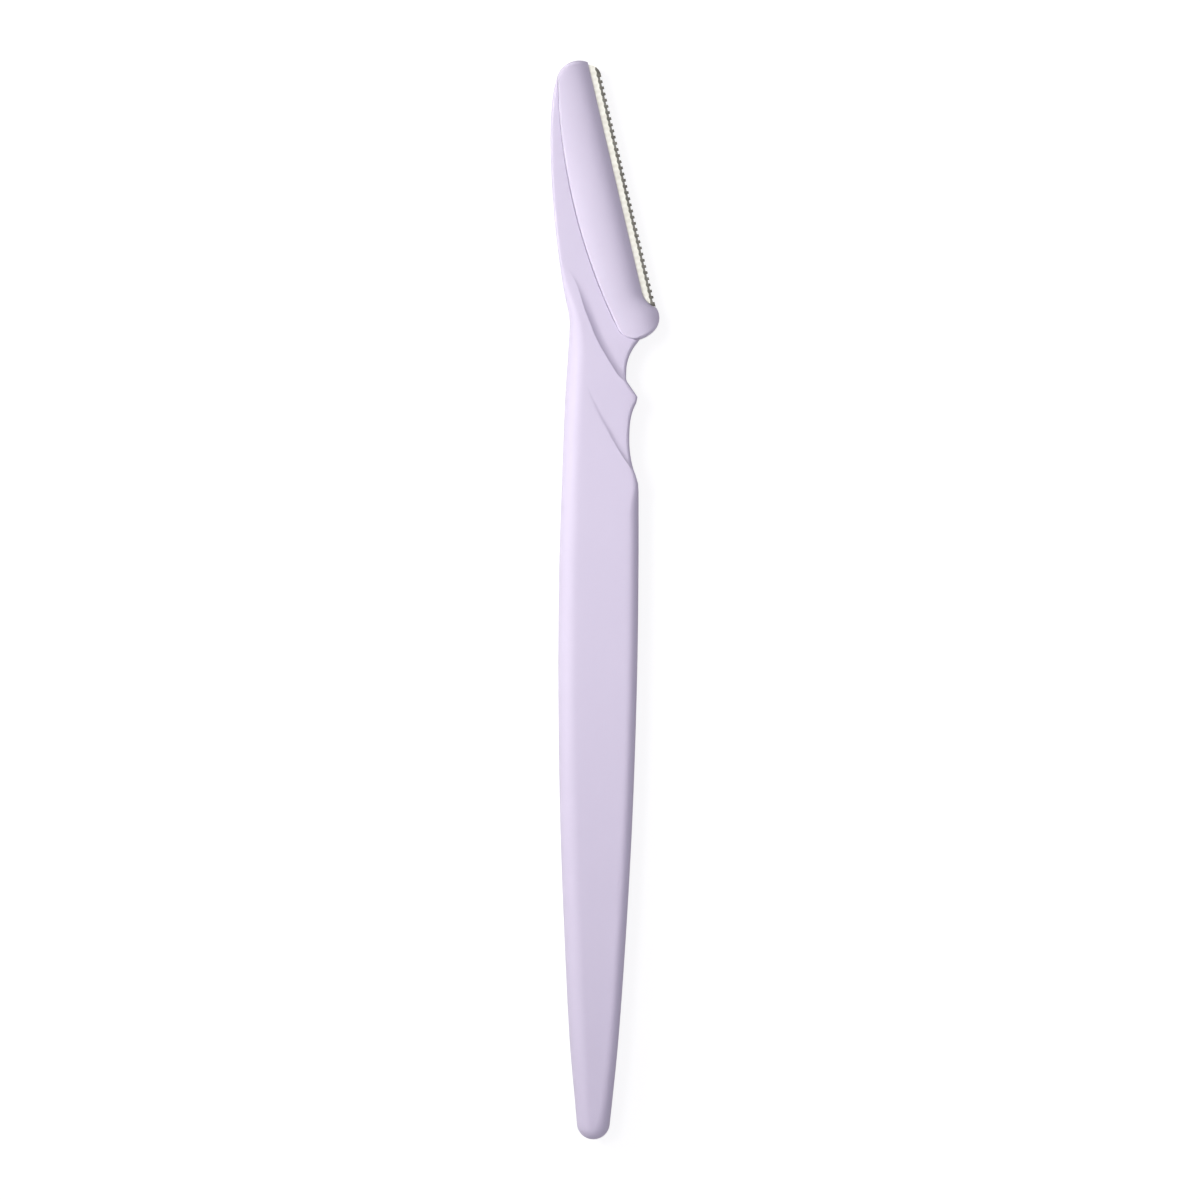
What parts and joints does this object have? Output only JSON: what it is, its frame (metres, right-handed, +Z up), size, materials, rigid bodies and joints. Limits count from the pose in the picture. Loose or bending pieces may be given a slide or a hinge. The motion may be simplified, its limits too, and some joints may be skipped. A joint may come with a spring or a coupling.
{
  "type": "eyebrow razor",
  "caption": "Slim hand razor for eyebrows: a flat tapered grip with swept finger notches, a leaning narrow blade clamped between two crowned covers, and a slotted skin guard over its edge.",
  "frame": {"origin": "middle of the razor's box, on the surface it lies on", "axes": "+Y along the grip towards the blade's tip, +X towards the cutting edge, +Z up through the flat faces"},
  "size_m": [0.0152, 0.1499, 0.0053],
  "materials": {
    "lavender_plastic": "satin moulded lavender",
    "cover_plastic": "satin moulded lavender",
    "blade_steel": "ground stainless steel",
    "guard_steel": "bright rolled foil"
  },
  "bodies": {
    "root": {"handle": "lavender_plastic", "front_blade_cover": "cover_plastic", "rear_blade_cover": "cover_plastic", "blade": "blade_steel", "skin_guard": "guard_steel"}
  },
  "joints": []
}
